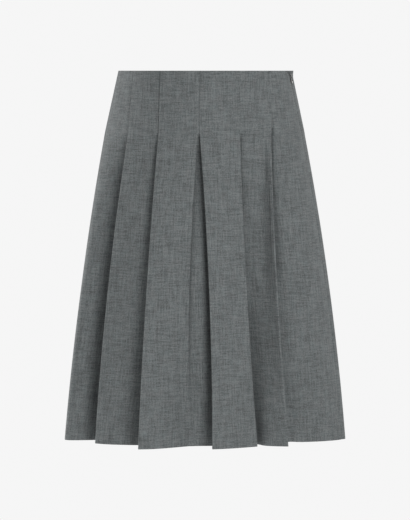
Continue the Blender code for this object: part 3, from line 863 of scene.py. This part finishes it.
def pull_shape():
    """The drop-shaped pull: a crowned plate with rounded edges and an oval eye."""
    shape = bmesh.new()
    directions = [2 * math.pi * (step + 0.5) / PULL_TURNS for step in range(PULL_TURNS)]
    head = PULL_TOP - PULL_HEAD_RADIUS
    end = PULL_TOP - PULL_LENGTH + PULL_END_RADIUS
    half = PULL_THICKNESS / 2
    crown_inset = 3 * half
    loops = []
    for side in (1, -1):
        quarter = (0, 30, 60, 90) if side > 0 else (90, 60, 30)
        outer = []
        for degrees in quarter:
            angle = math.radians(degrees)
            inset, rise = half * (1 - math.cos(angle)), side * half * math.sin(angle)
            outer.append([(x, y, rise) for x, y in hull_of_circles(
                head, end, PULL_HEAD_RADIUS, PULL_END_RADIUS, inset, directions)])
        crown = [(x, y, side * (half + PULL_CROWN)) for x, y in hull_of_circles(
            head, end, PULL_HEAD_RADIUS, PULL_END_RADIUS, crown_inset, directions)]
        eye = []
        for degrees in quarter:
            angle = math.radians(degrees)
            inset, rise = -half * (1 - math.cos(angle)), side * half * math.sin(angle)
            eye.append([(x, y, rise) for x, y in hull_of_circles(
                EYE_TOP, EYE_BOTTOM, EYE_RADIUS, EYE_RADIUS, inset, directions)])
        if side > 0:
            loops += outer + [crown] + eye[::-1]
        else:
            loops += eye[::-1] + [crown] + outer
    rings = [[shape.verts.new(point) for point in loop] for loop in loops]
    for ring, following in zip(rings, rings[1:] + rings[:1]):
        for step in range(PULL_TURNS):
            after = (step + 1) % PULL_TURNS
            shape.faces.new((ring[step], ring[after], following[after], following[step]))
    bmesh.ops.recalc_face_normals(shape, faces=shape.faces)
    return shape


def slider_shape():
    """The slider: a rounded body inside the skirt, and a bridge that holds the pull outside."""
    shape = bmesh.new()
    here = Matrix.Identity(4)
    under_cloth = -HINGE_OUT - CLOTH / 2 - 2 * SEAM_GAP - TAPE_THICKNESS
    on_cloth = -HINGE_OUT + CLOTH / 2 + SEAM_GAP
    body = (SLIDER_WIDTH, SLIDER_TOP - SLIDER_BOTTOM, SLIDER_THICKNESS)
    rounded_box(shape, body, (0, (SLIDER_TOP + SLIDER_BOTTOM) / 2,
                              under_cloth - SLIDER_THICKNESS / 2), here, SLIDER_ROUNDING)
    thick = BRIDGE_THICKNESS
    neck_reach = BRIDGE_TOP - under_cloth
    rounded_box(shape, (BRIDGE_WIDTH, thick + NECK_EXTRA, neck_reach + 2 * NECK_OVERLAP),
                (0, NECK_MIDDLE, under_cloth + neck_reach / 2 - NECK_OVERLAP), here,
                BRIDGE_ROUNDING)
    bridge = NECK_MIDDLE + thick / 2 - BRIDGE_FOOT
    rounded_box(shape, (BRIDGE_WIDTH, bridge, thick),
                (0, BRIDGE_FOOT + bridge / 2, BRIDGE_TOP - thick / 2), here, BRIDGE_ROUNDING)
    foot = BRIDGE_TOP - on_cloth
    rounded_box(shape, (BRIDGE_WIDTH, thick, foot),
                (0, BRIDGE_FOOT + thick / 2, on_cloth + foot / 2), here, BRIDGE_ROUNDING)
    return shape


def teeth_shape():
    """The closed zip's teeth, across the gap between the tapes."""
    shape = bmesh.new()
    inwards = -(CLOTH / 2 + SEAM_GAP + TAPE_THICKNESS + TOOTH_SIZE[2] / 2)
    for down in np.arange(TEETH_FROM, TEETH_TO, TOOTH_PITCH):
        place = seam_frame(float(down), inwards)
        rounded_box(shape, TOOTH_SIZE, (0, 0, 0), place, TOOTH_ROUNDING)
    return shape


def stop_shape():
    shape = bmesh.new()
    inwards = -(CLOTH / 2 + SEAM_GAP + TAPE_THICKNESS + STOP_SIZE[2] / 2)
    place = seam_frame(TEETH_TO + STOP_SIZE[1] / 2, inwards)
    rounded_box(shape, STOP_SIZE, (0, 0, 0), place, STOP_ROUNDING)
    return shape


def make_zip(metal, tape):
    hinge = seam_frame(HINGE_DOWN, HINGE_OUT)
    pull = new_piece("pull_tab", pull_shape(), metal)
    pull.data.transform(hinge)
    slider = new_piece("slider", slider_shape(), metal)
    slider.data.transform(hinge)
    teeth = new_piece("zip_teeth", teeth_shape(), tape)
    stop = new_piece("zip_stop", stop_shape(), metal)
    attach(pull, "pull")
    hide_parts("zip_pull")
    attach(slider, "skirt")
    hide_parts("zip_slider")
    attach(teeth, "skirt")
    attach(stop, "skirt")


def give_material(node, material):
    node.data.materials.clear()
    node.data.materials.append(material)


def make_camera():
    angle = math.radians(VIEW_DEG)
    place = Vector((VIEW_DISTANCE * math.sin(angle), -VIEW_DISTANCE * math.cos(angle), 0.0))
    aim = Vector((0.0, 0.0, -AIM_DOWN))
    data = bpy.data.cameras.new("camera")
    data.sensor_fit = "VERTICAL"
    data.sensor_height = SENSOR_MM
    reach = (aim - place).length
    data.lens = SENSOR_MM * reach / (METRES_PER_PIXEL * PICTURE_HEIGHT)
    data.clip_end = 100
    camera = bpy.data.objects.new("camera", data)
    camera.location = place
    camera.rotation_euler = (aim - place).to_track_quat("-Z", "Y").to_euler()
    bpy.context.scene.collection.objects.link(camera)
    bpy.context.scene.camera = camera


def make_light(light):
    """A soft box that faces the skirt's middle."""
    turn = math.radians(light.turn_deg)
    rise = math.radians(light.raise_deg)
    aim = Vector((0.0, 0.0, -LENGTH / 2))
    away = Vector((math.sin(turn) * math.cos(rise), -math.cos(turn) * math.cos(rise),
                   math.sin(rise)))
    data = bpy.data.lights.new(light.name, "AREA")
    data.shape = "SQUARE"
    data.size = light.width
    data.energy = light.reach * math.pi * light.distance ** 2
    lamp = bpy.data.objects.new(light.name, data)
    lamp.location = aim + away * light.distance
    lamp.rotation_euler = away.to_track_quat("Z", "Y").to_euler()
    bpy.context.scene.collection.objects.link(lamp)


def make_world():
    """A white surround that lights the skirt only softly."""
    world = bpy.data.worlds.new("studio")
    world.use_nodes = True
    tree = world.node_tree
    seen = tree.nodes["Background"]
    seen.inputs["Color"].default_value = (STUDIO_WHITE, STUDIO_WHITE, STUDIO_WHITE, 1.0)
    around = tree.nodes.new("ShaderNodeBackground")
    around.inputs["Color"].default_value = (AMBIENT, AMBIENT, AMBIENT, 1.0)
    path = tree.nodes.new("ShaderNodeLightPath")
    either = tree.nodes.new("ShaderNodeMixShader")
    tree.links.new(path.outputs["Is Camera Ray"], either.inputs["Fac"])
    tree.links.new(around.outputs[0], either.inputs[1])
    tree.links.new(seen.outputs[0], either.inputs[2])
    tree.links.new(either.outputs[0], tree.nodes["World Output"].inputs["Surface"])
    bpy.context.scene.world = world


def make_floor():
    """A round pale floor, well below the skirt, which hangs as if worn."""
    mesh = bpy.data.meshes.new("floor")
    shape = bmesh.new()
    bmesh.ops.create_circle(shape, cap_ends=True, segments=96, radius=FLOOR_RADIUS)
    shape.to_mesh(mesh)
    shape.free()
    floor = bpy.data.objects.new("floor", mesh)
    floor.location = (0, 0, -FLOOR_DOWN)
    bpy.context.scene.collection.objects.link(floor)
    look = Nodes("floor")
    look.shader.inputs["Base Color"].default_value = (FLOOR_GREY, FLOOR_GREY, FLOOR_GREY, 1.0)
    look.shader.inputs["Roughness"].default_value = 1.0
    look.shader.inputs["Specular IOR Level"].default_value = 0.0
    mesh.materials.append(look.material)


def make_studio():
    """Soft studio light: a key a little right of the camera, and a light behind each side."""
    bpy.context.scene.view_settings.view_transform = "Standard"
    make_world()
    for light in LIGHTS:
        make_light(light)
    make_floor()


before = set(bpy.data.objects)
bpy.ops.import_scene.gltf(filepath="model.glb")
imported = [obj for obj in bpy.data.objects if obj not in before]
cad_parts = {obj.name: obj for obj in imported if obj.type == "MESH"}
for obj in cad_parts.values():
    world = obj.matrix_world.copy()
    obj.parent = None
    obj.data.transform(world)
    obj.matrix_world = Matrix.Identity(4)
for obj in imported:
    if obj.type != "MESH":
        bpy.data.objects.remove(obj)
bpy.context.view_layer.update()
make_camera()
make_studio()

wool = wool_material()
front = cloth_shell("front_cloth", front_section, in_front, FRONT_FOLDS, FRONT_CREASES, wool)
back = cloth_shell("back_cloth", back_section, behind_it, BACK_FOLDS, BACK_CREASES, wool)
for cloth, node in ((front, "front_panel"), (back, "back_panel")):
    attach(cloth.piece, "skirt")
    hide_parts(node)

metal = metal_material()
tape = tape_material()
make_zip(metal, tape)
for name in ("zip_slider", "zip_pull"):
    give_material(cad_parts[name], metal)
for name in ("zip_tape_front", "zip_tape_back"):
    give_material(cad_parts[name], tape)
